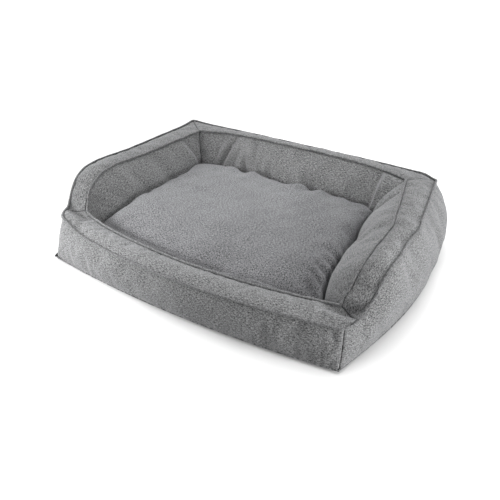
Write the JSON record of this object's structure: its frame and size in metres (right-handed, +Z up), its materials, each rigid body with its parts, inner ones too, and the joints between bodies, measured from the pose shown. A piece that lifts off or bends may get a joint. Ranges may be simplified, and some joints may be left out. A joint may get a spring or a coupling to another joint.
{
  "type": "pet cushion bed",
  "caption": "Sofa-style pet bed with stuffed walls, low at the front, corded top seams, a loose cushion in the well and a zip low on the back.",
  "frame": {"origin": "centre of the base, on the floor", "axes": "+X across the bed to the right seen from the front, +Y from the low front wall to the back wall, +Z up"},
  "size_m": [0.8982, 0.6838, 0.1713],
  "materials": {
    "wall_fabric": "heathered woven upholstery fabric",
    "cushion_fabric": "heathered woven upholstery fabric, a little lighter",
    "cord_fabric": "bias strip of the wall fabric over cord",
    "base_fabric": "coarse plain base cloth",
    "fibre_fill": "polyester fibre",
    "zip_tape": "twill tape",
    "zip_teeth": "moulded teeth",
    "zip_metal": "dull gunmetal plating",
    "label": "satin ribbon"
  },
  "bodies": {
    "bed": {"base_panel": "base_fabric", "front_outer_panel": "wall_fabric", "right_outer_panel": "wall_fabric", "back_outer_panel": "wall_fabric", "back_lower_panel": "wall_fabric", "left_outer_panel": "wall_fabric", "front_top_strip": "wall_fabric", "right_top_strip": "wall_fabric", "back_top_strip": "wall_fabric", "left_top_strip": "wall_fabric", "front_inner_panel": "wall_fabric", "right_inner_panel": "wall_fabric", "back_inner_panel": "wall_fabric", "left_inner_panel": "wall_fabric", "outer_cord": "cord_fabric", "inner_cord": "cord_fabric", "front_fill": "fibre_fill", "right_fill": "fibre_fill", "back_fill": "fibre_fill", "left_fill": "fibre_fill", "zip_tape": "zip_tape", "zip_teeth": "zip_teeth", "zip_end_stops": "zip_metal", "care_label": "label"},
    "cushion": {"cushion_top_panel": "cushion_fabric", "cushion_bottom_panel": "cushion_fabric", "cushion_fill": "fibre_fill"},
    "slider": {"zip_slider": "zip_metal"},
    "pull": {"zip_pull": "zip_metal"}
  },
  "joints": [
    {"name": "cushion_lift", "type": "slide", "parent": "bed", "child": "cushion", "axis": [0, 0, 1], "range_m": [0, 0.25]},
    {"name": "zip_travel", "type": "slide", "parent": "bed", "child": "slider", "axis": [-1, 0, 0], "range_m": [0, 0.33]},
    {"name": "pull_swing", "type": "hinge", "parent": "slider", "child": "pull", "pos_m": [0.172, 0.34, 0.04002], "axis": [1, 0, 0], "range_deg": [0, 150]}
  ]
}
